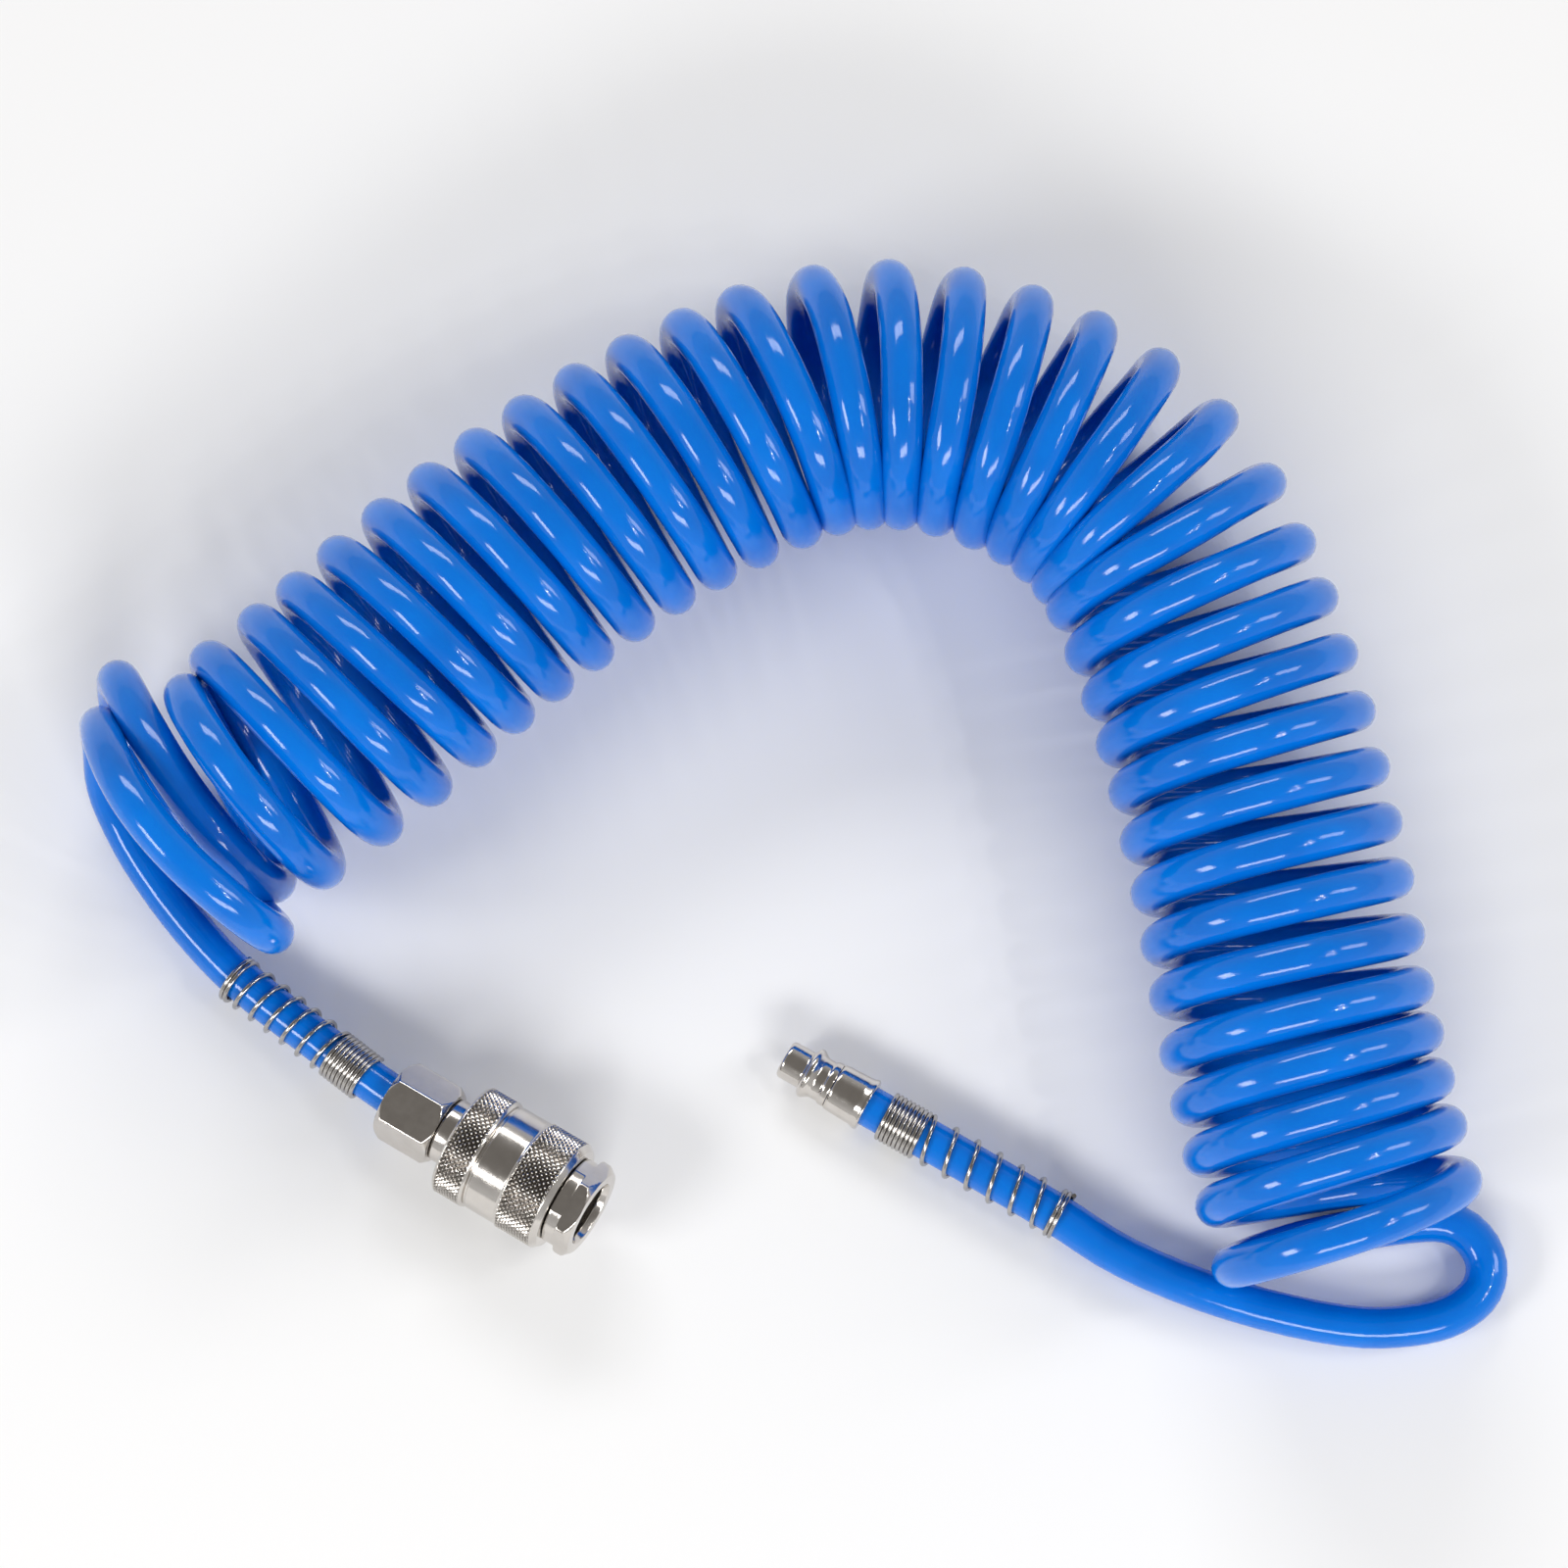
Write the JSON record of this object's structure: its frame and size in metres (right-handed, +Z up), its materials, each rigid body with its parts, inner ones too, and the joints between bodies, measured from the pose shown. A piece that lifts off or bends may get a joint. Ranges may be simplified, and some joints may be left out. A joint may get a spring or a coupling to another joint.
{
  "type": "recoil air hose with quick couplings",
  "caption": "Coiled blue polyurethane air hose with a knurled sleeve quick coupler at one end and its quick plug at the other, each behind a wire spring guard.",
  "frame": {"origin": "on the floor, below the middle of the two fittings and their wire guards, with the hose coil left out", "axes": "+Z up; the coupler and the plug both lie along the floor about 30 degrees from X, the coupler towards +X and -Y, the plug towards -X and +Y"},
  "size_m": [0.2716, 0.2122, 0.0532],
  "materials": {
    "nickel_plate": "bright nickel plate with fine turning marks",
    "steel": "bare hardened steel",
    "spring_wire": "bright drawn wire",
    "brass": "turned brass",
    "black_rubber": "matt nitrile rubber",
    "blue_hose": "glossy blue polyurethane, slightly translucent"
  },
  "bodies": {
    "hose_set": {"coupler_body": "nickel_plate", "rear_adaptor": "nickel_plate", "hose_nut": "nickel_plate", "adaptor_seal": "black_rubber", "spring_seat": "steel", "sleeve_spring": "spring_wire", "mouth_seal": "black_rubber", "valve_spring": "spring_wire", "coupler_guard": "spring_wire", "coupler_hose_tail": "blue_hose", "hose_coil": "blue_hose", "plug_hose_tail": "blue_hose", "plug_guard": "spring_wire", "plug_body": "nickel_plate", "crimp_ferrule": "nickel_plate"},
    "sleeve": {"coupler_sleeve": "nickel_plate"},
    "valve": {"valve_poppet": "brass", "valve_seal": "black_rubber"},
    "ball_1": {"locking_ball_1": "steel"},
    "ball_2": {"locking_ball_2": "steel"},
    "ball_3": {"locking_ball_3": "steel"},
    "ball_4": {"locking_ball_4": "steel"},
    "ball_5": {"locking_ball_5": "steel"},
    "ball_6": {"locking_ball_6": "steel"}
  },
  "joints": [
    {"name": "sleeve_slide", "type": "slide", "parent": "hose_set", "child": "sleeve", "axis": [-0.8525, 0.5122, -0.1045], "range_m": [0, 0.0033], "stiffness_N_per_m": 1500, "springref_m": -0.004, "deforming": ["sleeve_spring"]},
    {"name": "valve_slide", "type": "slide", "parent": "hose_set", "child": "valve", "axis": [-0.8525, 0.5122, -0.1045], "range_m": [0, 0.0015], "stiffness_N_per_m": 600, "springref_m": -0.004, "deforming": ["valve_spring"]},
    {"name": "ball_1_slide", "type": "slide", "parent": "hose_set", "child": "ball_1", "axis": [0.515, 0.8572, 0], "range_m": [0, 0.001]},
    {"name": "ball_2_slide", "type": "slide", "parent": "hose_set", "child": "ball_2", "axis": [0.1799, 0.4752, 0.8613], "range_m": [0, 0.001]},
    {"name": "ball_3_slide", "type": "slide", "parent": "hose_set", "child": "ball_3", "axis": [-0.3351, -0.382, 0.8613], "range_m": [0, 0.001]},
    {"name": "ball_4_slide", "type": "slide", "parent": "hose_set", "child": "ball_4", "axis": [-0.515, -0.8572, 0], "range_m": [0, 0.001]},
    {"name": "ball_5_slide", "type": "slide", "parent": "hose_set", "child": "ball_5", "axis": [-0.1799, -0.4752, -0.8613], "range_m": [0, 0.001]},
    {"name": "ball_6_slide", "type": "slide", "parent": "hose_set", "child": "ball_6", "axis": [0.3351, 0.382, -0.8613], "range_m": [0, 0.001]}
  ],
  "couplings": [
    {"joint": "ball_1_slide", "follows": "sleeve_slide", "ratio": 0.303},
    {"joint": "ball_2_slide", "follows": "sleeve_slide", "ratio": 0.303},
    {"joint": "ball_3_slide", "follows": "sleeve_slide", "ratio": 0.303},
    {"joint": "ball_4_slide", "follows": "sleeve_slide", "ratio": 0.303},
    {"joint": "ball_5_slide", "follows": "sleeve_slide", "ratio": 0.303},
    {"joint": "ball_6_slide", "follows": "sleeve_slide", "ratio": 0.303}
  ]
}
